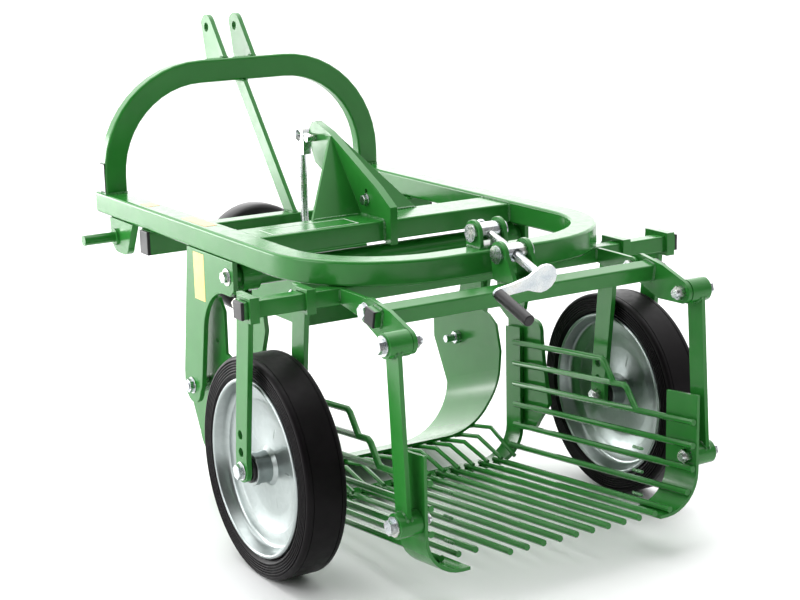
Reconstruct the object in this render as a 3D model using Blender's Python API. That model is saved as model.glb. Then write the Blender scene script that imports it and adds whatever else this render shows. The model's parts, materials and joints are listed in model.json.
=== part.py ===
"""Single-row potato digger for a small tractor: three-point frame, share, shaking sieve and two depth wheels.

Metres, +Z up, +Y forwards, +X to the right. Every piece is modelled from the wheel axle's Y, and one empty
carries them all, so that the whole machine stands centred on the origin with its tyres at Z = 0.
"""

import math

import bmesh
import bpy
from mathutils import Matrix, Vector

AXLE_Y = -0.2959  # the wheel axle, from the centre of the machine
GAP = 0.0003  # between pieces that touch
RUN = 0.0006  # between pieces that turn on each other
OPEN = 0.0025  # round the rockers' lower pins, where the linkage is opened

# Wheels
TYRE_R = 0.200
TYRE_WIDTH = 0.078
RIM_R = 0.162
AXLE_R = 0.008
HUB_R = 0.030
LEG_WIDE = 0.042
LEG_THICK = 0.010
LEG_HOLES = (TYRE_R, 0.234, 0.266)
SLEEVE_LONG = 0.018
SLEEVE_WALL = 0.007

# Main frame, a rectangular tube bent to a U
FRAME_HALF = 0.3375
FRAME_FRONT = 0.897
FRAME_REAR = -0.144
FRAME_TOP = 0.5625
TUBE_WIDE = 0.050
TUBE_TALL = 0.045
BEND_R = 0.235
FRAME_BOTTOM = FRAME_TOP - TUBE_TALL

# The wheels stand beside the frame
INNER_LEG_X = FRAME_HALF - 0.0045
TYRE_OUTER_X = INNER_LEG_X + 0.0965
OUTER_LEG_X = INNER_LEG_X + 0.108

# Hitch
HOOP_TOP = 0.832
HOOP_Y = 0.833
HOOP_DEEP = 0.030
EAR_X = 0.0343
EAR_THICK = 0.010
EAR_PIN = (0.929, 0.894)
EAR_PIN_R = 0.0096
LINK_PIN = (0.790, 0.479)
LINK_PIN_R = 0.011
LINK_PIN_END = 0.412

# Cross members
FRONT_BEAM_Y = (0.610, 0.650)
FRONT_BEAM_TALL = 0.050
FRONT_BEAM_HALF = FRAME_HALF + 0.0025
REAR_BEAM_Y = (0.232, 0.330)
REAR_BEAM_Z = (0.517, 0.557)
WHEEL_BEAM_Y = (-0.070, -0.040)
WHEEL_BEAM_Z = (FRAME_BOTTOM - GAP - 0.030, FRAME_BOTTOM - GAP)
WHEEL_BEAM_HALF = OUTER_LEG_X + 0.031

# Drive line
DRIVE_Z = 0.385
GUARD_R = 0.125
GUARD_Y = (0.785, 0.832)
SPLINE_R = 0.0175

# Side plates and the tube that the sieve hangs on
SIDE_PLATE_THICK = 0.010
CROSS_TUBE = (0.268, 0.482)
CROSS_TUBE_R = 0.022
SHARE_BOLT = (0.4400, 0.2335)

# Share
SHARE_HALF = 0.303
SHARE_THICK = 0.006
SHARE_CORNER_R = 0.130
SHARE_SLOPE = math.radians(18.4)
SHARE_TIP_Y = 0.484
SHARE_REAR_Y = 0.302
SPACER_R = 0.016
FINGER_R = 0.0045
FINGER_GRIP = 0.024
FINGER_KNEE = 0.240
FINGER_TIP = (0.156, 0.050)
FINGERS_EACH_SIDE = 7

# Sieve
ROD_R = 0.006
ROD_PITCH = 0.035
SIEVE_HALF = 0.280
SIEVE_CORNER_R = 0.060
SIEVE_FRONT = 0.245
SIEVE_REAR = -0.345
SIEVE_REAR_LEFT = -0.292
ROD_FRONT = 0.209
SIEVE_FRONT_Z = 0.027
SIEVE_SLOPE = math.radians(5.8)
SIDE_ROD_PITCH = 0.044
STRAP_THICK = 0.008
STRAP_WIDE = 0.050
SIDE_TOP = 0.300
WELD_IN = 0.0015
SIEVE_ARM_X = (0.2950, 0.3040)
ARM_EYE_R = 0.030
BRACKET_THICK = 0.006
BRACKET_Y = (-0.346, -0.262)
BRACKET_TOP = 0.230
BRACKET_FOOT_X = 0.205

# Cradle, rockers and depth screw
CRADLE_PIVOT = (-0.172, 0.497)
CRADLE_ORIGIN = (0, *CRADLE_PIVOT)
CRADLE_TUBE = (-0.212, 0.497)
CRADLE_TUBE_SIDE = 0.030
CRADLE_TUBE_HALF = 0.308
CRADLE_TILT = math.radians(12)
CRADLE_PLATE_X = (0.284, 0.292)
ROCKER_TOP = (-0.302, 0.472)
ROCKER_BOTTOM = (-0.322, 0.172)
BOSS_R = 0.022
BOSS_X = (0.2935, 0.336)
ROCKER_WIDE = 0.038
PIN_R = 0.008
SCREW_FRONT = (-0.105, 0.588)
SCREW_REAR = (-0.184, 0.562)
SCREW_R = 0.008
SCREW_HOLE_R = 0.0125
TRUNNION_R = 0.0165
TRUNNION_SHANK_R = 0.012
CLEVIS_X = (0.022, 0.030)
CLEVIS_HEAD_R = 0.023
CRANK_REACH = 0.092
CRANK_AT = 0.176
CRANK_TURN = math.radians(-10)
CRANK_THICK = 0.005
GRIP_R = 0.0105
GRIP_LONG = 0.0927

ROOT = None
MATERIALS = {}


def clear_scene():
    for obj in list(bpy.data.objects):
        bpy.data.objects.remove(obj, do_unlink=True)


def make_root():
    empty = bpy.data.objects.new("axle_line", None)
    empty.location = (0, AXLE_Y, 0)
    bpy.context.scene.collection.objects.link(empty)
    return empty


def material(name, colour, roughness, metallic=0.0):
    made = bpy.data.materials.new(name)
    made.use_nodes = True
    shader = made.node_tree.nodes["Principled BSDF"]
    shader.inputs["Base Color"].default_value = (*colour, 1)
    shader.inputs["Roughness"].default_value = roughness
    shader.inputs["Metallic"].default_value = metallic
    made.diffuse_color = (*colour, 1)
    MATERIALS[name] = made


def make_materials():
    material("green_paint", (0.045, 0.300, 0.070), 0.35)
    material("zinc", (0.62, 0.64, 0.66), 0.32, 1.0)
    material("galvanised", (0.60, 0.66, 0.66), 0.38, 1.0)
    material("rubber", (0.022, 0.021, 0.024), 0.62)
    material("black_plastic", (0.018, 0.016, 0.018), 0.40)


# ---------------------------------------------------------------- shapes


def mesh_of(bm):
    bmesh.ops.recalc_face_normals(bm, faces=bm.faces)
    mesh = bpy.data.meshes.new("shape")
    bm.to_mesh(mesh)
    bm.free()
    return mesh


def prism(outline, across, low, high):
    """The outline pushed from low to high along an axis: "X" takes (y, z), "Y" (x, z) and "Z" (x, y)."""
    place = {
        "X": lambda p, t: (t, p[0], p[1]),
        "Y": lambda p, t: (p[0], t, p[1]),
        "Z": lambda p, t: (p[0], p[1], t),
    }[across]
    bm = bmesh.new()
    rings = [[bm.verts.new(place(p, t)) for p in outline] for t in (low, high)]
    bm.faces.new(rings[0])
    bm.faces.new(rings[1])
    for i in range(len(outline)):
        j = (i + 1) % len(outline)
        bm.faces.new((rings[0][i], rings[0][j], rings[1][j], rings[1][i]))
    return mesh_of(bm)


def box(low, high):
    outline = [(low[0], low[1]), (high[0], low[1]), (high[0], high[1]), (low[0], high[1])]
    return prism(outline, "Z", low[2], high[2])


def arc(centre, radius, start, end, steps):
    """Points of an arc, its angles in degrees."""
    turns = [math.radians(start + (end - start) * i / steps) for i in range(steps + 1)]
    return [(centre[0] + radius * math.cos(t), centre[1] + radius * math.sin(t)) for t in turns]


def mirror(mesh):
    """The same shape on the other side of the machine."""
    mesh.transform(Matrix.Diagonal((-1, 1, 1, 1)))
    mesh.flip_normals()
    return mesh


def strip(half, corner, bottom, top, thick, steps=10):
    """The (x, z) outline of a strip bent to a U. half and bottom are its outer faces."""
    centre = (half - corner, bottom + corner)
    outer = [(half, top), *arc(centre, corner, 0, -90, steps)]
    inner = [(half - thick, top), *arc(centre, corner - thick, 0, -90, steps)]
    outline = outer + [(-x, z) for x, z in reversed(outer)]
    return outline + [(-x, z) for x, z in inner] + inner[::-1]


def climbing(mesh, slope, low_y):
    """The mesh sheared to rise towards the rear, keeping its own height at low_y."""
    shear = Matrix.Identity(4)
    shear[2][1] = -math.tan(slope)
    shear[2][3] = low_y * math.tan(slope)
    mesh.transform(shear)
    return mesh


def sweep(points, radius, sides=10):
    """A round bar along a line of points, mitred at its bends."""
    points = [Vector(p) for p in points]
    bm = bmesh.new()
    rings = []
    for i, point in enumerate(points):
        before = (point - points[i - 1]).normalized() if i else None
        after = (points[i + 1] - point).normalized() if i < len(points) - 1 else None
        along = ((before or after) + (after or before)).normalized()
        side = along.orthogonal().normalized() if not rings else rings[-1][1]
        side = (side - side.dot(along) * along).normalized()
        up = along.cross(side)
        bend = 1 / max(0.5, along.dot(after or before))
        ring = []
        for k in range(sides):
            turn = 2 * math.pi * (k + 0.5) / sides
            offset = side * math.cos(turn) + up * math.sin(turn)
            if before and after and bend > 1.0001:
                out = (after - before).normalized()
                offset += out * offset.dot(out) * (bend - 1)
            ring.append(bm.verts.new(point + offset * radius))
        rings.append((ring, side))
    for (one, _), (two, _) in zip(rings, rings[1:]):
        for k in range(sides):
            m = (k + 1) % sides
            bm.faces.new((one[k], one[m], two[m], two[k]))
    bm.faces.new(rings[0][0])
    bm.faces.new(rings[-1][0])
    return mesh_of(bm)


def rod(start, end, radius, sides=16):
    return sweep([start, end], radius, sides)


def pin_x(centre, low, high, radius, sides=14):
    """A round bar along X through centre (y, z)."""
    return rod((low, *centre), (high, *centre), radius, sides)


def lathe(profile, centre, steps=48):
    """A closed profile of (x, r) points turned about the X line through centre (y, z)."""
    bm = bmesh.new()
    rings = []
    for i in range(steps):
        turn = 2 * math.pi * i / steps
        ring = [
            bm.verts.new((x, centre[0] + r * math.cos(turn), centre[1] + r * math.sin(turn)))
            for x, r in profile
        ]
        rings.append(ring)
    for i in range(steps):
        one, two = rings[i], rings[(i + 1) % steps]
        for k in range(len(profile)):
            m = (k + 1) % len(profile)
            bm.faces.new((one[k], one[m], two[m], two[k]))
    return mesh_of(bm)


# ---------------------------------------------------------------- objects


def temporary(mesh):
    obj = bpy.data.objects.new("cutter", mesh)
    bpy.context.scene.collection.objects.link(obj)
    return obj


def fused(body, add=(), cut=(), within=()):
    """One mesh: the body kept within some shapes, with others joined on and then others taken off."""
    base = temporary(body)
    helpers = []
    for operation, shapes in (("INTERSECT", within), ("UNION", add), ("DIFFERENCE", cut)):
        for shape in shapes:
            helper = temporary(shape)
            helpers.append(helper)
            modifier = base.modifiers.new("join", "BOOLEAN")
            modifier.operation = operation
            modifier.solver = "EXACT"
            modifier.object = helper
    bpy.context.view_layer.update()
    graph = bpy.context.evaluated_depsgraph_get()
    mesh = bpy.data.meshes.new_from_object(base.evaluated_get(graph))
    for obj in (base, *helpers):
        bpy.data.objects.remove(obj, do_unlink=True)
    return mesh


def piece(name, mesh, paint, pivot=(0, 0, 0)):
    """Stands a finished mesh in the scene as one named sub-part, with its origin at pivot."""
    mesh.name = name
    mesh.transform(Matrix.Translation(-Vector(pivot)))
    mesh.materials.clear()
    mesh.materials.append(MATERIALS[paint])
    mesh.shade_smooth()
    mesh.set_sharp_from_angle(angle=math.radians(32))
    obj = bpy.data.objects.new(name, mesh)
    obj.location = pivot
    obj.parent = ROOT
    bpy.context.scene.collection.objects.link(obj)


def both_sides(name, build, paint, pivot=(0, 0, 0)):
    """The piece on the right, and its mirror image on the left."""
    piece(name + "_right", build(), paint, pivot)
    piece(name + "_left", mirror(build()), paint, (-pivot[0], pivot[1], pivot[2]))


# ---------------------------------------------------------------- frame and hitch


def u_outline(half, width, bend, open_end, closed_end):
    """A U in plan, its legs to open_end and its closed end at closed_end."""
    down = 1 if closed_end < open_end else -1
    inner, small = half - width, bend - width
    centre = closed_end + down * bend
    outer_side = arc((half - bend, centre), bend, 0, -90 * down, 12)
    inner_side = arc((inner - small, centre), small, 0, -90 * down, 12)
    right = [(half, open_end), *outer_side]
    inside = [(inner, open_end), *inner_side]
    left = [(-x, t) for x, t in reversed(right)]
    inside_left = [(-x, t) for x, t in reversed(inside)]
    return [*right, *left, *reversed(inside_left), *reversed(inside)]


def main_frame():
    outline = u_outline(FRAME_HALF, TUBE_WIDE, BEND_R, FRAME_FRONT, FRAME_REAR)
    mesh = prism(outline, "Z", FRAME_BOTTOM, FRAME_TOP)
    piece("main_frame", mesh, "green_paint")


def hitch_hoop():
    outline = u_outline(FRAME_HALF, TUBE_WIDE, BEND_R, FRAME_TOP + GAP, HOOP_TOP)
    mesh = prism(outline, "Y", HOOP_Y, HOOP_Y + HOOP_DEEP)
    piece("hitch_hoop", mesh, "green_paint")


def top_link_ears():
    top, front = HOOP_TOP + GAP, HOOP_Y + HOOP_DEEP + GAP
    crown = arc(EAR_PIN, 0.028, 20, 145, 8)
    outline = [(0.846, top), (front, top), (front, 0.785), (0.905, 0.785), (0.938, 0.828), *crown]

    def ear():
        body = prism(outline, "X", EAR_X - EAR_THICK / 2, EAR_X + EAR_THICK / 2)
        return fused(body, cut=[pin_x(EAR_PIN, 0, 0.1, EAR_PIN_R, 24)])

    both_sides("top_link_ear", ear, "green_paint")


def hoop_strut():
    top, foot = HOOP_TOP - TUBE_WIDE - GAP, FRAME_BOTTOM
    outline = [(0.823, top), (0.868, top), (0.659, foot), (0.612, foot)]
    piece("hoop_strut", prism(outline, "X", -0.005, 0.005), "green_paint")


def lower_link_brackets():
    y, z = LINK_PIN
    inner = FRAME_HALF - 0.015
    top = FRAME_BOTTOM - GAP
    outline = [(0.700, top), (0.730, 0.462), *arc((0.752, 0.470), 0.024, 200, 270, 4)]
    outline += [*arc((0.786, 0.478), 0.032, 270, 360, 5), (0.820, top)]

    def bracket():
        plate = prism(outline, "X", inner, FRAME_HALF)
        collar = pin_x(LINK_PIN, FRAME_HALF - 0.002, FRAME_HALF + 0.006, 0.018, 24)
        pin = pin_x(LINK_PIN, inner + 0.003, LINK_PIN_END, LINK_PIN_R, 24)
        return fused(plate, add=[collar, pin])

    both_sides("lower_link_bracket", bracket, "green_paint")


# ---------------------------------------------------------------- cross members and tower


def front_beam():
    top = FRAME_BOTTOM - GAP
    low = (-FRONT_BEAM_HALF, FRONT_BEAM_Y[0], top - FRONT_BEAM_TALL)
    high = (FRONT_BEAM_HALF, FRONT_BEAM_Y[1], top)
    piece("front_beam", box(low, high), "green_paint")


def rear_beam():
    half = FRAME_HALF - TUBE_WIDE - GAP
    low = (-half, REAR_BEAM_Y[0], REAR_BEAM_Z[0])
    high = (half, REAR_BEAM_Y[1], REAR_BEAM_Z[1])
    piece("rear_beam", box(low, high), "green_paint")


def tower():
    """A leaning triangular plate across the beam, and the upright gusset that it is folded over."""
    base, apex = REAR_BEAM_Z[1] + GAP, 0.700
    y_base, y_apex, thick = REAR_BEAM_Y[1] - 0.004, 0.440, 0.007
    lean = (y_apex - y_base) / (apex - base)
    triangle = prism([(-0.119, 0), (0.119, 0), (0.010, apex - base), (-0.010, apex - base)], "Y", -thick, 0)
    shear = Matrix.Identity(4)
    shear[1][2] = lean
    triangle.transform(Matrix.Translation((0, y_base, base)) @ shear)
    rear = REAR_BEAM_Y[0] - GAP
    gusset_line = [
        (rear - 0.022, 0.512),
        (rear, 0.512),
        (rear, base),
        (y_base, base),
        (0.505, 0.640),
        (0.524, 0.676),
        *arc((0.500, 0.698), 0.026, 0, 90, 4),
        (0.440, 0.706),
        (0.262, 0.618),
        (rear - 0.022, 0.585),
    ]
    gusset = prism(gusset_line, "X", -0.008, 0.008)
    slot = [pin_x((0.300, 0.606), -0.02, 0.02, 0.005, 16), pin_x((0.311, 0.588), -0.02, 0.02, 0.005, 16)]
    mesh = fused(triangle, add=[gusset], cut=[*slot])
    piece("tower", mesh, "green_paint")


def tower_link():
    """The upright rod whose eye hangs on the tower's lug and whose foot stands on the gearbox."""
    y, eye_z, foot = 0.556, 0.690, FRAME_BOTTOM - GAP
    head = [(y - 0.022, 0.652), (y + 0.022, 0.652), (y + 0.022, eye_z), *arc((y, eye_z), 0.022, 0, 180, 10)]
    body = prism(head, "X", -0.0180, -0.0005)
    hole = pin_x((y, eye_z), -0.05, 0.05, 0.0125, 20)
    stem = rod((-0.009, y, foot - 0.049), (-0.009, y, 0.660), 0.008)
    cross = pin_x((0.500, 0.690), -0.030, -0.0085, 0.007, 16)
    link = [(0.493, 0.684), (y - 0.010, 0.684), (y - 0.010, 0.697), (0.493, 0.697)]
    bar = prism(link, "X", -0.0165, -0.0088)
    mesh = fused(body, add=[stem, cross, bar], cut=[hole])
    piece("tower_link", mesh, "zinc")


# ---------------------------------------------------------------- drive line


def gearbox():
    top = FRAME_BOTTOM - FRONT_BEAM_TALL - 2 * GAP
    case = box((-0.080, 0.450, 0.310), (0.080, 0.680, top))
    neck = rod((0, 0.670, DRIVE_Z), (0, 0.730, DRIVE_Z), 0.050, 28)
    seat = rod((0, 0.660, DRIVE_Z), (0, 0.760, DRIVE_Z), SPLINE_R + RUN, 20)
    mesh = fused(case, add=[neck], cut=[seat])
    piece("gearbox", mesh, "green_paint")


def pto_guard():
    """A bell-shaped guard round the input shaft, open to the front."""
    near, far = GUARD_Y
    profile = [
        (0.700, 0.0503), (0.700, 0.054), (near - 0.010, 0.060), (near, GUARD_R - 0.004),
        (near + 0.004, GUARD_R),
        (far, GUARD_R), (far, GUARD_R - 0.003), (near + 0.006, GUARD_R - 0.004), (near - 0.006, 0.057),
        (0.732, 0.0503),
    ]
    mesh = lathe(profile, (0, 0), 28)
    mesh.transform(Matrix.Translation((0, 0, DRIVE_Z)) @ Matrix.Rotation(math.radians(90), 4, "Z"))
    piece("pto_guard", mesh, "black_plastic")


def pto_shaft():
    """The input stub, with six grooves between its splines."""
    pivot = (0, 0.740, DRIVE_Z)
    stub = rod((0, 0.664, DRIVE_Z), (0, 0.800, DRIVE_Z), SPLINE_R, 24)
    grooves = []
    for i in range(6):
        turn = math.radians(60 * i)
        side = Vector((math.cos(turn), 0, math.sin(turn))) * SPLINE_R
        groove = box((-0.0040, 0.738, -0.0030), (0.0040, 0.810, 0.0030))
        groove.transform(
            Matrix.Translation((side.x, 0, DRIVE_Z + side.z)) @ Matrix.Rotation(-turn, 4, "Y")
        )
        grooves.append(groove)
    piece("pto_shaft", fused(stub, cut=grooves), "zinc", pivot)


# ---------------------------------------------------------------- side plates and share


def side_plates():
    top, rear = FRAME_BOTTOM - GAP, 0.234
    y, z = SHARE_BOLT
    fillet = arc((0.270, 0.345), 0.105, 80, 12, 8)
    outline = [(rear, top), (rear, 0.462), (0.250, 0.4485), *fillet, (0.396, 0.240)]
    outline += [*arc((y, z), 0.036, 190, 350, 10), (0.474, 0.260), (0.434, top)]

    def plate():
        body = prism(outline, "X", FRAME_HALF - SIDE_PLATE_THICK, FRAME_HALF)
        return fused(body, cut=[pin_x(SHARE_BOLT, 0.3, 0.4, PIN_R + GAP)])

    both_sides("side_plate", plate, "green_paint")


def cross_tube():
    """The tube between the side plates, on which the sieve's arms turn."""
    end = FRAME_HALF - SIDE_PLATE_THICK - GAP
    piece("cross_tube", pin_x(CROSS_TUBE, -end, end, CROSS_TUBE_R, 28), "green_paint")


def share_shape():
    """A sheet bent to a U and laid with its front edge down, trimmed to its side view."""
    outline = strip(SHARE_HALF, SHARE_CORNER_R, 0.0, 0.60, SHARE_THICK, 16)
    sheet = prism(outline, "Y", 0.2, SHARE_TIP_Y + 0.1)
    side = [
        (SHARE_REAR_Y, 0.030), (SHARE_REAR_Y, 0.120), (0.293, 0.175), (0.286, 0.233), (0.300, 0.288),
        (0.326, 0.305), (0.352, 0.312), (0.352, 0.395), (0.372, 0.420), (0.412, 0.420),
        (0.436, 0.334), (0.452, 0.300), (0.540, 0.270), (0.540, 0.215), (0.490, 0.120),
        (SHARE_TIP_Y, 0.0), (0.400, -0.020),
    ]
    return fused(climbing(sheet, SHARE_SLOPE, SHARE_TIP_Y), within=[prism(side, "X", -0.5, 0.5)])


def u_place(distance, half, corner, bottom):
    """(x, z) at a distance along a U's outline from its middle; negative is to the left."""
    flat, bend = half - corner, corner * math.pi / 2
    far = abs(distance)
    if far <= flat:
        spot = (far, bottom)
    elif far <= flat + bend:
        turn = (far - flat) / corner
        spot = (flat + corner * math.sin(turn), bottom + corner * (1 - math.cos(turn)))
    else:
        spot = (half, bottom + corner + far - flat - bend)
    return (math.copysign(spot[0], distance), spot[1])


def share_fingers():
    """Bent fingers under the share's rear edge, which carry the crop down between the sieve's rods."""
    fingers = []
    below = FINGER_R - WELD_IN
    rise = math.tan(SHARE_SLOPE)
    for i in range(-FINGERS_EACH_SIDE, FINGERS_EACH_SIDE + 1):
        x, low = u_place(i * ROD_PITCH, SHARE_HALF + below, SHARE_CORNER_R + below, -below)
        level = low + (SHARE_TIP_Y - SHARE_REAR_Y) * rise
        start = (x, SHARE_REAR_Y + FINGER_GRIP, level - FINGER_GRIP * rise)
        line = [start, (x, SHARE_REAR_Y, level), (x, FINGER_KNEE, level + 0.012), (x, *FINGER_TIP)]
        fingers.append(sweep(line, FINGER_R, 8))
    return fingers


def share():
    bolts = [pin_x(SHARE_BOLT, s * 0.28, s * 0.32, PIN_R + GAP) for s in (1, -1)]
    tabs = [pin_x((0.388, 0.330), s * 0.28, s * 0.32, 0.0055, 14) for s in (1, -1)]
    mesh = fused(share_shape(), add=share_fingers(), cut=bolts + tabs)
    piece("share", mesh, "green_paint")


def share_bolts():
    """A bolt and its spacer at the foot of each side plate."""
    wall = SHARE_HALF
    plate = FRAME_HALF - SIDE_PLATE_THICK

    def bolt():
        shank = pin_x(SHARE_BOLT, wall - 0.041, FRAME_HALF + 0.012, PIN_R)
        head = pin_x(SHARE_BOLT, FRAME_HALF + GAP, FRAME_HALF + 0.010, 0.014, 6)
        spacer = pin_x(SHARE_BOLT, wall + GAP, plate - GAP, SPACER_R, 16)
        nut = pin_x(SHARE_BOLT, wall - SHARE_THICK - 0.013, wall - SHARE_THICK - GAP, 0.014, 6)
        return fused(shank, add=[head, spacer, nut])

    both_sides("share_bolt", bolt, "zinc")


# ---------------------------------------------------------------- wheels and their legs


def wheel_beam():
    low = (-WHEEL_BEAM_HALF, WHEEL_BEAM_Y[0], WHEEL_BEAM_Z[0])
    high = (WHEEL_BEAM_HALF, WHEEL_BEAM_Y[1], WHEEL_BEAM_Z[1])
    piece("wheel_beam", box(low, high), "green_paint")


def leg(inner_x):
    """A flat bar with three axle holes, its sleeve slid over the wheel beam."""
    outer_x = inner_x + LEG_THICK
    y0, y1 = WHEEL_BEAM_Y[0] - GAP, WHEEL_BEAM_Y[1] + GAP
    z0, z1 = WHEEL_BEAM_Z[0] - GAP, WHEEL_BEAM_Z[1] + GAP
    wall, half, straight = SLEEVE_WALL, LEG_WIDE / 2, 0.230
    front = y1 + wall + 0.022
    bar = [*arc((0, TYRE_R), half, 180, 360, 10), (half, straight), (front, z1), (front, z1 + wall)]
    bar += [(y1, z1 + wall), (y1, z0 - wall), (front - LEG_WIDE, z0 - wall), (-half, straight)]
    plate = prism(bar, "X", inner_x, outer_x)
    sleeve = box((inner_x, y0 - wall, z0 - wall), (inner_x + SLEEVE_LONG, y1 + wall, z1 + wall))
    bore = box((inner_x - 0.1, y0, z0), (outer_x + 0.1, y1, z1))
    holes = [pin_x((0, z), inner_x - 0.02, outer_x + 0.02, AXLE_R + GAP) for z in LEG_HOLES]
    return fused(plate, add=[sleeve], cut=[bore, *holes])


def wheel_legs():
    both_sides("wheel_leg_inner", lambda: leg(INNER_LEG_X), "green_paint")
    both_sides("wheel_leg_outer", lambda: leg(OUTER_LEG_X), "green_paint")


def axle_bolts():
    centre = (0, TYRE_R)

    def bolt():
        outer = OUTER_LEG_X + LEG_THICK
        shank = pin_x(centre, INNER_LEG_X - 0.016, outer + 0.006, AXLE_R)
        head = pin_x(centre, outer + GAP, outer + 0.011, 0.014, 6)
        nut = pin_x(centre, INNER_LEG_X - 0.013, INNER_LEG_X - GAP, 0.014, 6)
        return fused(shank, add=[head, nut])

    both_sides("axle_bolt", bolt, "zinc")


def wheels():
    centre = (0, TYRE_R)
    middle, half = TYRE_OUTER_X - TYRE_WIDTH / 2, TYRE_WIDTH / 2

    def tyre():
        bead = RIM_R + GAP
        side = [(-half + 0.006, bead), (-half, bead + 0.006), (-half, TYRE_R - 0.010)]
        side += [(-half + 0.004, TYRE_R - 0.003), (-half + 0.012, TYRE_R)]
        profile = side + [(-x, r) for x, r in reversed(side)]
        return lathe([(middle + x, r) for x, r in profile], centre, 40)

    def disc():
        bore = AXLE_R + RUN
        inner, outer = INNER_LEG_X + LEG_THICK, OUTER_LEG_X
        hub_half = (outer - inner) / 2 - 0.0015
        face = [(-hub_half, bore), (-hub_half, HUB_R), (-0.010, HUB_R), (-0.004, HUB_R + 0.010)]
        face += [(-0.004, 0.085), (-0.012, 0.098), (-0.012, 0.128)]
        face += [(-half + 0.010, 0.150), (-half + 0.002, 0.156), (-half + 0.004, RIM_R)]
        profile = face + [(-x, r) for x, r in reversed(face)]
        return lathe([((inner + outer) / 2 + x, r) for x, r in profile], centre, 40)

    both_sides("tyre", tyre, "rubber", (middle, *centre))
    both_sides("wheel_disc", disc, "galvanised", (middle, *centre))


# ---------------------------------------------------------------- sieve


def sieve_z(y):
    """How far the sieve has risen at y: its rods climb to the rear."""
    return (SIEVE_FRONT - y) * math.tan(SIEVE_SLOPE)


def rod_spots():
    """(x, z) of each rod at the sieve's front, from the middle of the floor up both sides."""
    spots = []
    reach = SIEVE_HALF - SIEVE_CORNER_R + SIEVE_CORNER_R * math.pi / 2
    for side in (1, -1):
        for i in range(7):
            spots.append(u_place(side * (i + 0.5) * ROD_PITCH, SIEVE_HALF, SIEVE_CORNER_R, SIEVE_FRONT_Z))
        for i in range(6):
            far = reach - 0.038 + i * SIDE_ROD_PITCH
            spots.append(u_place(side * far, SIEVE_HALF, SIEVE_CORNER_R, SIEVE_FRONT_Z))
    return spots


def bent_round(y0, y1, top, thick, offset):
    """A flat bar bent to a U round the rods, offset from their centres and rising with them."""
    out = offset + thick
    outline = strip(SIEVE_HALF + out, SIEVE_CORNER_R + out, SIEVE_FRONT_Z - out, top, thick, 8)
    return climbing(prism(outline, "Y", y0, y1), SIEVE_SLOPE, SIEVE_FRONT)


def sieve_rods():
    rods = []
    top_two = SIEVE_FRONT_Z + SIEVE_CORNER_R + 2.4 * SIDE_ROD_PITCH
    for x, z in rod_spots():
        front, rear = ROD_FRONT, SIEVE_REAR
        if x < -0.125 and z < 0.06:
            rear = SIEVE_REAR_LEFT
        line = [(x, front, z + sieve_z(front))]
        if z > top_two:
            high = z > top_two + SIDE_ROD_PITCH
            bend = -0.080 if high else -0.148
            drop = SIDE_ROD_PITCH + 0.002
            line += [(x, bend, z + sieve_z(bend)), (x, bend - 0.008, z + sieve_z(bend) - 0.004)]
            line.append((x, bend - 0.038, z + sieve_z(bend - 0.038) - drop))
        else:
            line.append((x, rear, z + sieve_z(rear)))
        rods.append(sweep(line, ROD_R, 8))
    return rods


def sieve_basket():
    strap = bent_round(SIEVE_FRONT - STRAP_WIDE, SIEVE_FRONT, SIDE_TOP, STRAP_THICK, ROD_R - WELD_IN)
    piece("sieve_basket", fused(strap, add=sieve_rods()), "green_paint", (0, *CROSS_TUBE))


def sieve_arms():
    """Side plates that hang the sieve's front from the cross tube, notched behind at mid height."""
    y, z = CROSS_TUBE
    outline = [
        *arc((y, z), ARM_EYE_R, 250, -45, 14),
        (0.290, 0.400), (0.288, 0.335), (0.250, 0.312), (0.252, 0.120),
        *arc((0.180, 0.125), 0.034, -20, -160, 6),
        (0.112, 0.160), (0.130, 0.240), (0.138, 0.296), *arc((0.160, 0.305), 0.022, 180, 95, 4),
        (0.205, 0.332), *arc((0.215, 0.352), 0.022, 250, 180, 4), (0.178, 0.392), (0.184, 0.425),
        (0.236, 0.446),
    ]

    def arm():
        plate = prism(outline, "X", *SIEVE_ARM_X)
        boss = pin_x((y, z), 0.276, 0.312, ARM_EYE_R, 24)
        bore = pin_x((y, z), 0.20, 0.40, CROSS_TUBE_R + RUN, 24)
        return fused(plate, add=[boss], cut=[bore])

    both_sides("sieve_arm", arm, "green_paint", (0, *CROSS_TUBE))


def sieve_brackets():
    """A plate bent under the rods on each side, which carries the rocker's lower pin."""

    def bracket():
        bent = bent_round(*BRACKET_Y, BRACKET_TOP, BRACKET_THICK, ROD_R + RUN)
        side = box((BRACKET_FOOT_X, BRACKET_Y[0] - 0.1, -0.1), (SIEVE_HALF + 0.1, BRACKET_Y[1] + 0.1, 0.5))
        return fused(bent, within=[side], cut=[pin_x(ROCKER_BOTTOM, 0.2, 0.4, PIN_R + GAP)])

    both_sides("sieve_bracket", bracket, "green_paint", (0, *CROSS_TUBE))


# ---------------------------------------------------------------- cradle and rockers


def turned(mesh, centre, angle):
    """The mesh turned about the X line through centre (y, z)."""
    move = Matrix.Translation((0, *centre))
    mesh.transform(move @ Matrix.Rotation(angle, 4, "X") @ move.inverted())
    return mesh


def cradle_tube():
    y, z = CRADLE_TUBE
    half = CRADLE_TUBE_SIDE / 2
    bar = box((-CRADLE_TUBE_HALF, y - half, z - half), (CRADLE_TUBE_HALF, y + half, z + half))
    piece("cradle_tube", turned(bar, CRADLE_TUBE, CRADLE_TILT), "green_paint", CRADLE_ORIGIN)


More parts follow.
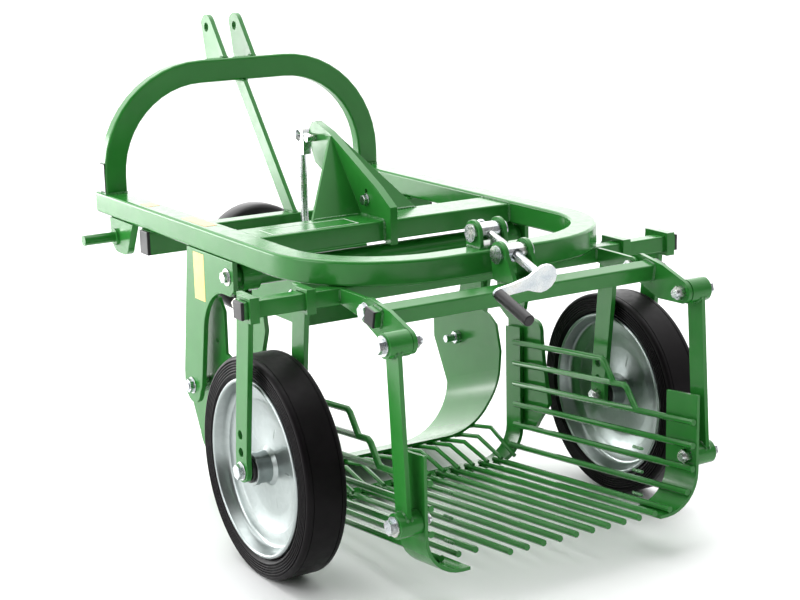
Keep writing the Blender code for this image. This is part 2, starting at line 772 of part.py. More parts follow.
def cradle_plates():
    (py, pz), (ty, tz) = CRADLE_PIVOT, ROCKER_TOP
    outline = [*arc((py, pz), 0.022, 60, -90, 7), (-0.235, 0.449)]
    outline += [*arc((ty, tz), 0.021, -100, -250, 8), (-0.250, 0.512), (-0.185, 0.523)]

    def plate():
        y, z = CRADLE_TUBE
        half = CRADLE_TUBE_SIDE / 2 + GAP
        window = turned(box((0.2, y - half, z - half), (0.4, y + half, z + half)), CRADLE_TUBE, CRADLE_TILT)
        holes = [pin_x(p, 0.2, 0.4, PIN_R + GAP) for p in (CRADLE_PIVOT, ROCKER_TOP)]
        return fused(prism(outline, "X", *CRADLE_PLATE_X), cut=[window, *holes])

    both_sides("cradle_plate", plate, "green_paint", CRADLE_ORIGIN)


def cradle_lugs():
    """Lugs behind the wheel beam that carry the cradle's pivot pins."""
    y, z = CRADLE_PIVOT
    front = WHEEL_BEAM_Y[0] - GAP
    low, high = CRADLE_PLATE_X[0] - 0.0095, CRADLE_PLATE_X[0] - 0.0015
    outline = [(front, 0.516), (-0.128, 0.516), *arc((y, z), 0.019, 75, 280, 8)]
    outline += [(-0.120, 0.481), (front, 0.489)]

    def lug():
        return fused(prism(outline, "X", low, high), cut=[pin_x((y, z), 0.2, 0.4, PIN_R + GAP)])

    both_sides("cradle_lug", lug, "green_paint")


def cradle_pins():
    low, high = CRADLE_PLATE_X[0] - 0.0095, CRADLE_PLATE_X[1]

    def pin():
        shank = pin_x(CRADLE_PIVOT, low - 0.012, high + 0.006, PIN_R)
        head = pin_x(CRADLE_PIVOT, high + GAP, high + 0.010, 0.013, 6)
        nut = pin_x(CRADLE_PIVOT, low - 0.011, low - GAP, 0.013, 6)
        return fused(shank, add=[head, nut])

    both_sides("cradle_pin", pin, "zinc")


def rockers():
    (ty, tz), (by, bz) = ROCKER_TOP, ROCKER_BOTTOM
    away = Vector((by - ty, bz - tz)).normalized()
    side = Vector((-away.y, away.x)) * ROCKER_WIDE / 2
    low, high = BOSS_X

    def rocker():
        start, end = Vector((ty, tz)), Vector((by, bz))
        outline = [start + side, end + side, end - side, start - side]
        bar = prism([tuple(p) for p in outline], "X", high - 0.022, high - 0.014)
        bosses = [pin_x(p, low, high, BOSS_R, 20) for p in (ROCKER_TOP, ROCKER_BOTTOM)]
        bores = [pin_x(ROCKER_TOP, 0.2, 0.4, PIN_R + RUN), pin_x(ROCKER_BOTTOM, 0.2, 0.4, PIN_R + OPEN)]
        return fused(bar, add=bosses, cut=bores)

    both_sides("rocker", rocker, "green_paint", (0, ty, tz))


def rocker_pins():
    """Bolts through both ends of each rocker, with a washer under the head."""
    for name, centre, inner, pivot in (
        ("rocker_top_pin", ROCKER_TOP, CRADLE_PLATE_X[0], CRADLE_ORIGIN),
        ("rocker_bottom_pin", ROCKER_BOTTOM, SIEVE_HALF + ROD_R + RUN, (0, *CROSS_TUBE)),
    ):

        def pin(centre=centre, inner=inner):
            high = BOSS_X[1] + RUN
            shank = pin_x(centre, inner - 0.018, high + 0.010, PIN_R)
            washer = pin_x(centre, high, high + 0.003, 0.0175, 16)
            head = pin_x(centre, high + 0.002, high + 0.013, 0.013, 6)
            nut = pin_x(centre, inner - 0.012, inner - GAP, 0.013, 6)
            return fused(shank, add=[washer, head, nut])

        both_sides(name, pin, "zinc", pivot)


# ---------------------------------------------------------------- depth screw


def along_screw(distance):
    """(y, z) at a distance behind the front trunnion on the screw's line."""
    front = Vector(SCREW_FRONT)
    return tuple(front + (Vector(SCREW_REAR) - front).normalized() * distance)


def clevis(centre, foot):
    """Two round-headed lugs on one foot block. foot is ((y, z), (y, z)): its low and high corners."""
    (y, z), ((y0, z0), (y1, z1)) = centre, foot
    low, high = CLEVIS_X
    outline = [(y0, z0), (y1, z0), (y1, z1), *arc((y, z), CLEVIS_HEAD_R, 0, 180, 12), (y0, z1)]
    lugs = [prism(outline, "X", s * low, s * high) for s in (1, -1)]
    block = box((-high + 0.001, y0, z0), (high - 0.001, y1, z0 + 0.004))
    hole = pin_x(centre, -0.05, 0.05, TRUNNION_SHANK_R + GAP, 14)
    return fused(lugs[0], add=[block, lugs[1]], cut=[hole])


def trunnion(centre):
    """A cross bar with round heads outside the clevis and a cross hole for the screw."""
    low, high = CLEVIS_X
    core = pin_x(centre, -low + RUN, low - RUN, TRUNNION_R, 16)
    shank = pin_x(centre, -high - 0.002, high + 0.002, TRUNNION_SHANK_R, 14)
    heads = [pin_x(centre, s * (high + RUN), s * (high + 0.006), TRUNNION_R, 16) for s in (1, -1)]
    start, end = along_screw(-0.1), along_screw(0.2)
    hole = rod((0, *start), (0, *end), SCREW_HOLE_R if centre == SCREW_REAR else SCREW_R + GAP, 16)
    return fused(core, add=[shank, *heads], cut=[hole])


def at_crank(mesh):
    """A mesh drawn round the crank's hub, its plate to -X and its grip to -Y, set on the screw."""
    (y0, z0), (y1, z1) = SCREW_FRONT, SCREW_REAR
    lean = Matrix.Rotation(math.atan2(z0 - z1, y0 - y1), 4, "X")
    hub = Matrix.Translation((0, *along_screw(CRANK_AT)))
    mesh.transform(hub @ lean @ Matrix.Rotation(CRANK_TURN, 4, "Y"))
    return mesh


def clevises():
    """The front one stands on the frame and the rear one on the cradle's tube."""
    foot = ((-0.130, FRAME_TOP + GAP), (-0.084, FRAME_TOP + 0.008))
    piece("screw_clevis_front", clevis(SCREW_FRONT, foot), "green_paint")
    piece("screw_trunnion_front", trunnion(SCREW_FRONT), "zinc")
    top = CRADLE_TUBE[1] + CRADLE_TUBE_SIDE / 2 * (math.cos(CRADLE_TILT) + math.sin(CRADLE_TILT)) + GAP
    foot = ((-0.228, top), (-0.166, top + 0.010))
    piece("screw_clevis_rear", clevis(SCREW_REAR, foot), "green_paint", CRADLE_ORIGIN)
    piece("screw_trunnion_rear", trunnion(SCREW_REAR), "zinc", CRADLE_ORIGIN)


def crank_plate():
    """The crank's teardrop plate, wide at the hub and narrow at the grip."""
    hub, tip = 0.027, 0.010
    plate = arc((0, 0), hub, -125, 125, 10)
    plate += [(-CRANK_REACH * 0.35, 0.013), (-CRANK_REACH * 0.7, tip)]
    plate += arc((-CRANK_REACH, 0), tip, 90, 270, 6)
    plate += [(-CRANK_REACH * 0.7, -tip), (-CRANK_REACH * 0.35, -0.013)]
    return at_crank(prism(plate, "Y", -CRANK_THICK, 0.0))


def depth_screw():
    """The screw with its collar in front of the first trunnion, and the crank that turns it."""
    collar_end = -0.0235
    start, end = along_screw(collar_end - 0.0005), along_screw(CRANK_AT + 0.004)
    stem = rod((0, *start), (0, *end), SCREW_R, 20)
    collar = rod((0, *along_screw(collar_end)), (0, *along_screw(-TRUNNION_R - 0.001)), 0.012, 14)
    piece("depth_screw", fused(stem, add=[collar, crank_plate()]), "zinc")


def crank_grip():
    near = -CRANK_THICK - GAP
    grip = rod((-CRANK_REACH, near, 0), (-CRANK_REACH, near - GRIP_LONG, 0), GRIP_R, 20)
    piece("crank_grip", at_crank(grip), "black_plastic")


def build():
    main_frame()
    hitch_hoop()
    top_link_ears()
    hoop_strut()
    lower_link_brackets()
    front_beam()
    rear_beam()
    tower()
    tower_link()
    gearbox()
    pto_guard()
    pto_shaft()
    side_plates()
    cross_tube()
    share()
    share_bolts()
    wheel_beam()
    wheel_legs()
    axle_bolts()
    wheels()
    sieve_basket()
    sieve_arms()
    sieve_brackets()
    cradle_tube()
    cradle_plates()
    cradle_lugs()
    cradle_pins()
    rockers()
    rocker_pins()
    clevises()
    depth_screw()
    crank_grip()


clear_scene()
ROOT = make_root()
make_materials()
build()
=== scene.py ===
"""The looks of the potato digger: materials, welds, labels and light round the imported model."""

import json
import math
import random

import bmesh
import bpy
from mathutils import Matrix, Vector


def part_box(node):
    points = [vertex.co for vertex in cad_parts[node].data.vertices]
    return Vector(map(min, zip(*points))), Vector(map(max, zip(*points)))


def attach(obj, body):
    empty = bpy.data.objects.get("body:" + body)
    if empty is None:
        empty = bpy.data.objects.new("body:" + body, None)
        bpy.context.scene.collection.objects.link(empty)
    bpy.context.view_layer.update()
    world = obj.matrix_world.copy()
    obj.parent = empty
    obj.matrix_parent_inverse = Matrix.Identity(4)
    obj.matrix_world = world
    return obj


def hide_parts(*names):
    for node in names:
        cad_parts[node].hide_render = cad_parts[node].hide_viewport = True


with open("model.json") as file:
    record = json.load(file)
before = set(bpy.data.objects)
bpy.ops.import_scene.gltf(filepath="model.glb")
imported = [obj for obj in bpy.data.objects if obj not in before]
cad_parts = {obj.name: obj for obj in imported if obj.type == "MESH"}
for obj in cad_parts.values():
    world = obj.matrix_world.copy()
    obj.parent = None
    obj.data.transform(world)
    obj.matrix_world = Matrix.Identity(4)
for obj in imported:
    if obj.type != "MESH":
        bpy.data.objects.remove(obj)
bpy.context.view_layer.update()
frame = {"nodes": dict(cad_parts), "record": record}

RECORD = frame["record"]
BODY_OF = {node: body for body, nodes in RECORD["behaviour"]["bodies"].items() for node in nodes}
SLOT_OF = {row["node"]: row["material_slot"] for row in RECORD["subparts"]}
SIDES = ("left", "right")

# The camera, from the wheel axle's line on the ground, and the floor's radius
EYE = (-1.7010, -2.5926, 1.1813)
YAW, PITCH, ROLL = -0.5479, -0.2335, -0.0242
LENS = 77.66
FLOOR_R = 60

# How bright the studio is behind the camera and beyond the machine
BEHIND = 0.13
BEYOND = 2.8

# Edges, in metres
TUBE_EDGE = 0.0055
PLATE_EDGE = 0.0012
BAR_EDGE = 0.0018
CAP_EDGE = 0.0018
BOLT_EDGE = 0.0004
FILM_EDGE = 0.0001
SMOOTH_ANGLE = math.radians(32)
BEVEL_ANGLE = math.radians(42)

# Triangles nearer to one plane than this are one face of the clean copy
FLAT_ANGLE = math.radians(0.6)
JOIN_WITHIN = 2e-5

# Radii of the weld beads
PLATE_BEAD = 0.0036
HOOP_BEAD = 0.0035
TUBE_BEAD = 0.0034
CLEVIS_BEAD = 0.0033
BAR_BEAD = 0.0030
FINE_BEAD = 0.0026

# Sizes of the steelwork that the thread, welds and labels follow
SCREW_R = 0.0079
THREAD_PITCH = 0.0032
FRAME_TUBE = 0.050
BOSS_WELD_R = 0.0225
CRADLE_TILT = math.radians(12)
SIEVE_SLOPE = math.radians(5.8)
STRAP_WIDE = 0.050
ROD_PITCH = 0.035
SIDE_ROD_PITCH = 0.044
FILM = 0.0004

dice = random.Random(7)


# ---------------------------------------------------------------- materials


class Nodes:
    """A short way to write a material's node tree."""

    def __init__(self, name):
        self.material = bpy.data.materials.new(name)
        self.material.use_nodes = True
        self.tree = self.material.node_tree
        self.shader = self.tree.nodes["Principled BSDF"]

    def add(self, kind, **inputs):
        node = self.tree.nodes.new(kind)
        for name, value in inputs.items():
            self.feed(node, name, value)
        return node

    def feed(self, node, name, value):
        if isinstance(value, bpy.types.NodeSocket):
            self.tree.links.new(value, node.inputs[name])
        else:
            node.inputs[name].default_value = value

    def place(self):
        return self.add("ShaderNodeTexCoord").outputs["Object"]

    def noise(self, scale, detail, roughness=0.5):
        node = self.add("ShaderNodeTexNoise", Scale=scale, Detail=detail, Roughness=roughness)
        self.feed(node, "Vector", self.place())
        return node.outputs["Fac"]

    def ramp(self, value, *stops):
        """Each stop is a position and a colour or grey level."""
        node = self.add("ShaderNodeValToRGB", Fac=value)
        while len(node.color_ramp.elements) < len(stops):
            node.color_ramp.elements.new(0.5)
        for element, (at, colour) in zip(node.color_ramp.elements, stops):
            element.position = at
            element.color = (colour, colour, colour, 1) if isinstance(colour, float) else (*colour, 1)
        return node.outputs["Color"]

    def bump(self, height, strength, distance):
        node = self.add("ShaderNodeBump", Strength=strength, Distance=distance, Height=height)
        self.feed(self.shader, "Normal", node.outputs["Normal"])

    def set(self, **values):
        """Feeds the shader's sockets, their names written with _ for a space."""
        for name, value in values.items():
            self.feed(self.shader, name.replace("_", " "), value)


def green_paint():
    made = Nodes("green_paint")
    deep, light = (0.018, 0.165, 0.022), (0.024, 0.195, 0.028)
    cloud = made.ramp(made.noise(9.0, 4.0), (0.30, deep), (0.70, light))
    flow = made.ramp(made.noise(60.0, 2.0), (0.35, 0.17), (0.75, 0.25))
    made.set(Base_Color=cloud, Roughness=flow, Specular_IOR_Level=0.36)
    made.bump(made.noise(110.0, 2.0), 0.10, 0.0004)
    return made.material


def weld_paint():
    made = Nodes("weld_paint")
    deep, light = (0.018, 0.140, 0.024), (0.032, 0.200, 0.038)
    cloud = made.ramp(made.noise(90.0, 3.0), (0.35, deep), (0.70, light))
    made.set(Base_Color=cloud, Roughness=0.28)
    made.bump(made.noise(400.0, 3.0), 0.30, 0.0006)
    return made.material


def zinc():
    made = Nodes("zinc")
    cold, plain, warm = (0.46, 0.50, 0.53), (0.60, 0.62, 0.62), (0.62, 0.60, 0.52)
    tint = made.ramp(made.noise(35.0, 4.0), (0.30, cold), (0.55, plain), (0.75, warm))
    worn = made.ramp(made.noise(140.0, 3.0), (0.30, 0.20), (0.75, 0.34))
    made.set(Base_Color=tint, Metallic=1.0, Roughness=worn)
    made.bump(made.noise(300.0, 2.0), 0.10, 0.0003)
    return made.material


def galvanised():
    made = Nodes("galvanised")
    spangle = made.add("ShaderNodeTexVoronoi", Scale=120.0)
    made.feed(spangle, "Vector", made.place())
    grey = made.add("ShaderNodeSeparateColor")
    made.feed(grey, "Color", spangle.outputs["Color"])
    deep, light = (0.330, 0.368, 0.362), (0.360, 0.398, 0.392)
    tint = made.ramp(grey.outputs["Red"], (0.0, deep), (1.0, light))
    matt = made.ramp(grey.outputs["Green"], (0.0, 0.30), (1.0, 0.34))
    made.set(Base_Color=tint, Metallic=1.0, Roughness=matt)
    made.bump(made.noise(9.0, 1.0), 0.03, 0.002)
    return made.material


def rubber():
    made = Nodes("rubber")
    clean, dusty = (0.0030, 0.0020, 0.0028), (0.0055, 0.0040, 0.0052)
    dust = made.ramp(made.noise(22.0, 5.0, 0.6), (0.35, clean), (0.80, dusty))
    matt = made.ramp(made.noise(75.0, 3.0), (0.30, 0.38), (0.75, 0.52))
    made.set(Base_Color=dust, Roughness=matt, Specular_IOR_Level=0.11)
    made.bump(made.noise(300.0, 3.0), 0.15, 0.0004)
    return made.material


def black_plastic():
    made = Nodes("black_plastic")
    deep, light = (0.006, 0.005, 0.006), (0.014, 0.012, 0.014)
    tone = made.ramp(made.noise(40.0, 3.0), (0.30, deep), (0.80, light))
    made.set(Base_Color=tone, Roughness=0.36, Specular_IOR_Level=0.35)
    made.bump(made.noise(500.0, 2.0), 0.20, 0.0003)
    return made.material


def label_film(name, colour, dark):
    """Plain glossy film, faintly uneven as a stuck label is."""
    made = Nodes(name)
    tone = made.ramp(made.noise(120.0, 2.0), (0.30, dark), (0.70, colour))
    made.set(Base_Color=tone, Roughness=0.35)
    made.bump(made.noise(250.0, 2.0), 0.05, 0.0003)
    return made.material


def floor_paint():
    made = Nodes("studio_floor")
    dull, pale = (0.86, 0.87, 0.87), (0.88, 0.885, 0.885)
    tone = made.ramp(made.noise(3.0, 3.0), (0.30, dull), (0.70, pale))
    made.set(Base_Color=tone, Roughness=0.55, Specular_IOR_Level=0.25)
    return made.material


PAINT = {
    "green_paint": green_paint(),
    "zinc": zinc(),
    "galvanised": galvanised(),
    "rubber": rubber(),
    "black_plastic": black_plastic(),
}
WELD = weld_paint()
YELLOW = label_film("yellow_label", (0.86, 0.62, 0.16), (0.80, 0.55, 0.12))
WHITE = label_film("white_label", (0.80, 0.84, 0.80), (0.74, 0.79, 0.74))
ORANGE = label_film("orange_label", (0.80, 0.38, 0.16), (0.72, 0.33, 0.13))


# ---------------------------------------------------------------- mesh helpers


def corners_of(node):
    low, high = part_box(node)
    return Vector(low), Vector(high)


def centre_of(node):
    low, high = corners_of(node)
    return (low + high) / 2


def linked(obj):
    bpy.context.scene.collection.objects.link(obj)
    return obj


def finished(name, bm, material, body, edge=0.0, replaced=()):
    """Makes the mesh an object that rides on a body, its edges rounded by the width edge."""
    mesh = bpy.data.meshes.new(name)
    bmesh.ops.recalc_face_normals(bm, faces=bm.faces)
    bm.to_mesh(mesh)
    bm.free()
    mesh.materials.append(material)
    mesh.shade_smooth()
    mesh.set_sharp_from_angle(angle=SMOOTH_ANGLE)
    obj = linked(bpy.data.objects.new(name, mesh))
    if edge:
        bevel = obj.modifiers.new("edge", "BEVEL")
        bevel.width = edge
        bevel.segments = 3
        bevel.limit_method = "ANGLE"
        bevel.angle_limit = BEVEL_ANGLE
        bevel.harden_normals = True
    if replaced:
        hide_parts(*replaced)
    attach(obj, body)


def skin(node, bm, edge=0.0):
    """Makes the mesh the look of a CAD node, in the node's own slot and on its body."""
    slot = SLOT_OF[node]
    finished(node + "_skin", bm, PAINT[slot], BODY_OF[node], edge, [node])


def dress(node, edge):
    """A clean copy of a CAD node, its triangles joined to whole faces and its edges eased."""
    bm = bmesh.new()
    bm.from_mesh(frame["nodes"][node].data)
    bmesh.ops.remove_doubles(bm, verts=bm.verts, dist=JOIN_WITHIN)
    bmesh.ops.dissolve_limit(bm, angle_limit=FLAT_ANGLE, verts=bm.verts, edges=bm.edges)
    skin(node, bm, edge)


def square_to(axis):
    """Two directions at right angles to an axis and to each other, after the axis itself."""
    axis = Vector(axis).normalized()
    side = axis.orthogonal().normalized()
    return axis, side, axis.cross(side)


def around(side, up, turn):
    return side * math.cos(turn) + up * math.sin(turn)


def skirt_into(bm, one, two):
    """Faces between two closed rings of the same length."""
    count = len(one)
    for i in range(count):
        j = (i + 1) % count
        bm.faces.new((one[i], one[j], two[j], two[i]))


def lathe_into(bm, profile, start, axis, steps):
    """Turns a closed profile of (along, radius) points about the line from start along axis."""
    axis, side, up = square_to(axis)
    rings = []
    for i in range(steps):
        out = around(side, up, 2 * math.pi * i / steps)
        rings.append([bm.verts.new(Vector(start) + axis * a + out * r) for a, r in profile])
    for i in range(steps):
        skirt_into(bm, rings[i], rings[(i + 1) % steps])


def arc(radius, start, end, steps):
    """Points of an arc about the origin, its angles in degrees."""
    turns = [math.radians(start + (end - start) * i / steps) for i in range(steps + 1)]
    return [(radius * math.cos(t), radius * math.sin(t)) for t in turns]


def hexagon_into(bm, start, axis, radius, height):
    """A bolt head or nut: a hexagon whose corners are turned off at the top."""
    axis, side, up = square_to(axis)
    outs = [around(side, up, math.pi * i / 3) for i in range(6)]
    rings = []
    for along, share in ((0.0, 1.0), (height * 0.82, 1.0), (height, 0.90)):
        middle = Vector(start) + axis * along
        rings.append([bm.verts.new(middle + out * radius * share) for out in outs])
    for one, two in zip(rings, rings[1:]):
        skirt_into(bm, one, two)
    bm.faces.new(rings[0][::-1])
    bm.faces.new(rings[-1])


def thread_into(bm, start, axis, radius, length, pitch):
    """A ridge along a screw, cut in steps round it and tapered out at both ends."""
    axis, side, up = square_to(axis)
    per_turn = 20
    steps = int(length / pitch * per_turn)
    last = None
    for i in range(steps + 1):
        out = around(side, up, 2 * math.pi * i / per_turn)
        fade = min(1.0, 6 * i / steps, 6 * (steps - i) / steps)
        base = Vector(start) + axis * (length * i / steps)
        foot, crest = out * (radius - 0.0004), out * (radius + 0.0007 * fade)
        section = ((-0.42, foot), (-0.12, crest), (0.12, crest), (0.42, foot))
        ring = [bm.verts.new(base + axis * pitch * share + spot) for share, spot in section]
        if last:
            skirt_into(bm, last, ring)
        else:
            bm.faces.new(ring)
        last = ring
    bm.faces.new(last[::-1])


def bead_into(bm, start, end, radius):
    """One run of weld from start to end: a low ridge with ripples, uneven as a hand-laid one is."""
    start = Vector(start)
    length = (Vector(end) - start).length
    along, side, up = square_to(Vector(end) - start)
    steps = max(4, int(length / 0.0022))
    rings = []
    for i in range(steps + 1):
        share = i / steps
        ends = min(1.0, 0.35 + 9 * share, 0.35 + 9 * (1 - share))
        swell = (1 + 0.13 * math.sin(i * 2.1) + dice.uniform(-0.07, 0.07)) * ends
        stray = (side * dice.uniform(-1, 1) + up * dice.uniform(-1, 1)) * radius * 0.08
        base = start + along * length * share + stray
        turns = (math.pi * k / 4 for k in range(8))
        rings.append([bm.verts.new(base + around(side, up, t) * radius * swell) for t in turns])
    for one, two in zip(rings, rings[1:]):
        skirt_into(bm, one, two)
    bm.faces.new(rings[0][::-1])
    bm.faces.new(rings[-1])


def slab_into(bm, low, high):
    """A box between two corners, its edges left for a bevel."""
    low, high = Vector(low), Vector(high)
    made = bmesh.ops.create_cube(bm, size=1.0)
    size = high - low
    move = Matrix.Translation((low + high) / 2) @ Matrix.Diagonal((*size, 1))
    bmesh.ops.transform(bm, matrix=move, verts=made["verts"])


# ---------------------------------------------------------------- steelwork


EDGES = {
    "main_frame": TUBE_EDGE,
    "hitch_hoop": TUBE_EDGE,
    "front_beam": 0.0040,
    "rear_beam": 0.0040,
    "wheel_beam": 0.0030,
    "cradle_tube": 0.0035,
    "gearbox": 0.0050,
    "hoop_strut": BAR_EDGE,
    "tower": PLATE_EDGE,
    "crank_grip": 0.0022,
    "cross_tube": 0.0015,
    "depth_screw": 0.0009,
    "pto_shaft": 0.0010,
    "tower_link": 0.0012,
    "share": 0.0,
    "sieve_basket": 0.0,
}
TURNED_NODES = ("tyre", "wheel_disc", "pto_guard")


def steelwork():
    for node in sorted(BODY_OF):
        if not node.startswith(TURNED_NODES):
            dress(node, EDGES.get(node, PLATE_EDGE))


# ---------------------------------------------------------------- wheels


RIM_R = 0.162
BORE_R = 0.0092
SEAL_R = (0.0178, 0.0225, 0.0240)
SIDE_RIBS = 5
SIDE_RIB_PITCH = 0.0046
SHOULDER_R = 0.0075
GROOVE_X = -0.0270
CREASES = 5
CREASE_STEPS = 12


def mirrored(profile):
    """A half section of (across, radius) points, followed by its mirror image."""
    return profile + [(-x, r) for x, r in reversed(profile)]


def tyre(side):
    """A solid tyre with ribbed sides, rounded shoulders and a fine groove by each edge of the tread."""
    node = "tyre_" + side
    low, high = corners_of(node)
    half, outer = (high.x - low.x) / 2, (high.z - low.z) / 2
    inner = RIM_R + 0.0004
    edge = [(-half + 0.007, inner), (-half + 0.0012, inner + 0.005)]
    rib = [(0.0003, 0.0), (0.0, 0.0006), (0.0003, 0.0022), (0.0024, 0.0030), (0.0024, 0.0038)]
    for i in range(SIDE_RIBS):
        foot = 0.1690 + SIDE_RIB_PITCH * i
        edge += [(-half + x, foot + r) for x, r in rib]
    bend = arc(SHOULDER_R, 4, 90, 7)
    edge += [(-half + SHOULDER_R - x, outer - SHOULDER_R + y) for x, y in bend]
    groove = [(-0.0009, 0.0), (-0.0004, 0.0011), (0.0004, 0.0011), (0.0009, 0.0)]
    edge += [(GROOVE_X + x, outer - deep) for x, deep in groove]
    edge += [(-0.010, outer)]
    bm = bmesh.new()
    lathe_into(bm, mirrored(edge), centre_of(node), (1, 0, 0), 168)
    skin(node, bm)


def disc_face(half):
    """Half of the pressed disc's section, from the hub out to the rolled rim."""
    web = [(-0.012, 0.029), (-0.0062, 0.036), (-0.0052, 0.044), (-0.0040, 0.060), (-0.0040, 0.088)]
    web += [(-0.0046, 0.092), (-0.0092, 0.116), (-0.0108, 0.1188), (-0.0120, 0.121), (-0.0124, 0.140)]
    well = [(-0.0134, 0.1440), (-0.0160, 0.1466), (-0.0205, 0.1484), (-0.0275, 0.1503)]
    well += [(-half + 0.0085, 0.1520), (-half + 0.0035, 0.1535)]
    roll = [(-half + 0.0045 + x, 0.1575 + y) for x, y in arc(0.0040, 225, 100, 6)]
    return web + well + roll


def disc(side):
    node = "wheel_disc_" + side
    low, high = corners_of(node)
    hub_half = (high.x - low.x) / 2
    tyre_low, tyre_high = corners_of("tyre_" + side)
    hub = [(0.0, BORE_R), (0.0, 0.0165), (0.0012, 0.0175), (0.006, 0.0175)]
    hub += [(0.006, 0.0285), (0.0072, 0.0295), (0.016, 0.0295), (0.017, 0.0270)]
    face = [(-hub_half + x, r) for x, r in hub] + disc_face((tyre_high.x - tyre_low.x) / 2)
    middle = Vector((centre_of(node).x, *centre_of("tyre_" + side).yz))
    bm = bmesh.new()
    lathe_into(bm, mirrored(face), middle, (1, 0, 0), 160)
    for i in range(CREASES):
        turn = 2 * math.pi * (i + 0.5) / CREASES
        out = Vector((0, math.cos(turn), math.sin(turn)))
        for way in (-1, 1):
            crease_into(bm, middle, out, way)
    skin(node, bm)


def crease_into(bm, middle, out, way):
    """A low pressed crease along the disc's flat, on one of its faces."""
    side = Vector((1, 0, 0)).cross(out)
    rings = []
    for i in range(CREASE_STEPS + 1):
        share = i / CREASE_STEPS
        swell = math.sin(math.pi * share) if 0 < share < 1 else 0.0
        rise, wide = 0.0012 * swell**0.5, 0.0010 + 0.0012 * swell
        base = middle + out * (0.048 + 0.033 * share) + Vector((way * 0.0034, 0, 0))
        lift = Vector((way * rise, 0, 0))
        turns = (math.pi * k / 6 for k in range(7))
        rings.append([bm.verts.new(base + around(side * wide, lift, t)) for t in turns])
    for one, two in zip(rings, rings[1:]):
        for k in range(6):
            bm.faces.new((one[k], one[k + 1], two[k + 1], two[k]))


def seals(side):
    """Black dust seals at both ends of the hub."""
    node = "wheel_disc_" + side
    low, high = corners_of(node)
    axle = centre_of("tyre_" + side)
    lip, crown, outer = SEAL_R
    profile = [(0.0004, lip), (0.0004, crown), (0.0014, outer), (0.0058, outer), (0.0058, lip)]
    bm = bmesh.new()
    for x, way in ((low.x, 1), (high.x, -1)):
        lathe_into(bm, [(way * a, r) for a, r in profile], (x, axle.y, axle.z), (1, 0, 0), 48)
    finished("hub_seals_" + side, bm, PAINT["black_plastic"], BODY_OF[node])


def wheels():
    for side in SIDES:
        tyre(side)
        disc(side)
        seals(side)


# ---------------------------------------------------------------- drive guard and screw


def guard():
    """The bell round the input shaft: a narrow neck that flares to a cylinder."""
    node = "pto_guard"
    low, high = corners_of(node)
    near, far = low.y, high.y
    outer = (high.x - low.x) / 2
    bell = far - 0.047
    profile = [(near, 0.0504), (near, 0.0535), (near + 0.030, 0.0545), (bell - 0.012, 0.0600)]
    profile += [(bell - 0.003, outer - 0.009), (bell + 0.001, outer - 0.003), (bell + 0.006, outer)]
    profile += [(far - 0.003, outer), (far, outer - 0.0012), (far - 0.001, outer - 0.0030)]
    profile += [(bell + 0.007, outer - 0.0032), (bell - 0.006, 0.0580), (near + 0.032, 0.0510)]
    bm = bmesh.new()
    middle = centre_of(node)
    lathe_into(bm, profile, (middle.x, 0, middle.z), (0, 1, 0), 120)
    skin(node, bm)


def screw_thread():
    front, rear = centre_of("screw_trunnion_front"), centre_of("screw_trunnion_rear")
    away = (rear - front).normalized()
    reach = (corners_of("crank_grip")[1].y - front.y) / away.y
    bm = bmesh.new()
    thread_into(bm, front + away * 0.018, away, SCREW_R, reach - 0.030, THREAD_PITCH)
    finished("screw_thread", bm, PAINT["zinc"], "chassis")


# ---------------------------------------------------------------- caps, labels and welds


def tube_caps():
    """Black plastic caps in the ends of the square tubes; those of the front beam stand proud."""
    bm = bmesh.new()
    for node, proud, wider in (("front_beam", 0.0044, -0.0005), ("wheel_beam", 0.0004, 0.0006)):
        low, high = corners_of(node)
        wide = Vector((0, wider, wider))
        for x, way in ((low.x, -1), (high.x, 1)):
            near, far = sorted((x - way * 0.006, x + way * proud))
            slab_into(bm, Vector((near, low.y, low.z)) - wide, Vector((far, high.y, high.z)) + wide)
    finished("tube_caps", bm, PAINT["black_plastic"], "chassis", CAP_EDGE)


def cradle_section():
    """The middle of the tilted cradle tube and half its side, from its level box."""
    low, high = corners_of("cradle_tube")
    return (low + high) / 2, (high.z - low.z) / 2 / (math.cos(CRADLE_TILT) + math.sin(CRADLE_TILT))


def cradle_caps():
    """The same caps on the cradle tube, tilted as it is."""
    low, high = corners_of("cradle_tube")
    middle, half = cradle_section()
    across = Vector((0, half - 0.0004, half - 0.0004))
    bm = bmesh.new()
    for x, way in ((low.x, -1), (high.x, 1)):
        near, far = sorted((x - way * 0.008, x + way * 0.0020))
        one = Vector((near, middle.y, middle.z)) - across
        two = Vector((far, middle.y, middle.z)) + across
        slab_into(bm, one, two)
    tilted = Matrix.Rotation(CRADLE_TILT, 4, "X")
    turn = Matrix.Translation(middle) @ tilted @ Matrix.Translation(-middle)
    bmesh.ops.transform(bm, matrix=turn, verts=bm.verts)
    finished("cradle_caps", bm, PAINT["black_plastic"], "cradle", CAP_EDGE)


def label(name, low, high, material):
    bm = bmesh.new()
    slab_into(bm, low, high)
    finished(name, bm, material, "chassis", FILM_EDGE)


def outline_into(bm, low, high, z, line):
    """A thin raised rectangle on a level face."""
    foot, top = z - 0.001, z + FILM
    slab_into(bm, (low[0], low[1], foot), (high[0], low[1] + line, top))
    slab_into(bm, (low[0], high[1] - line, foot), (high[0], high[1], top))
    slab_into(bm, (low[0], low[1] + line, foot), (low[0] + line, high[1] - line, top))
    slab_into(bm, (high[0] - line, low[1] + line, foot), (high[0], high[1] - line, top))


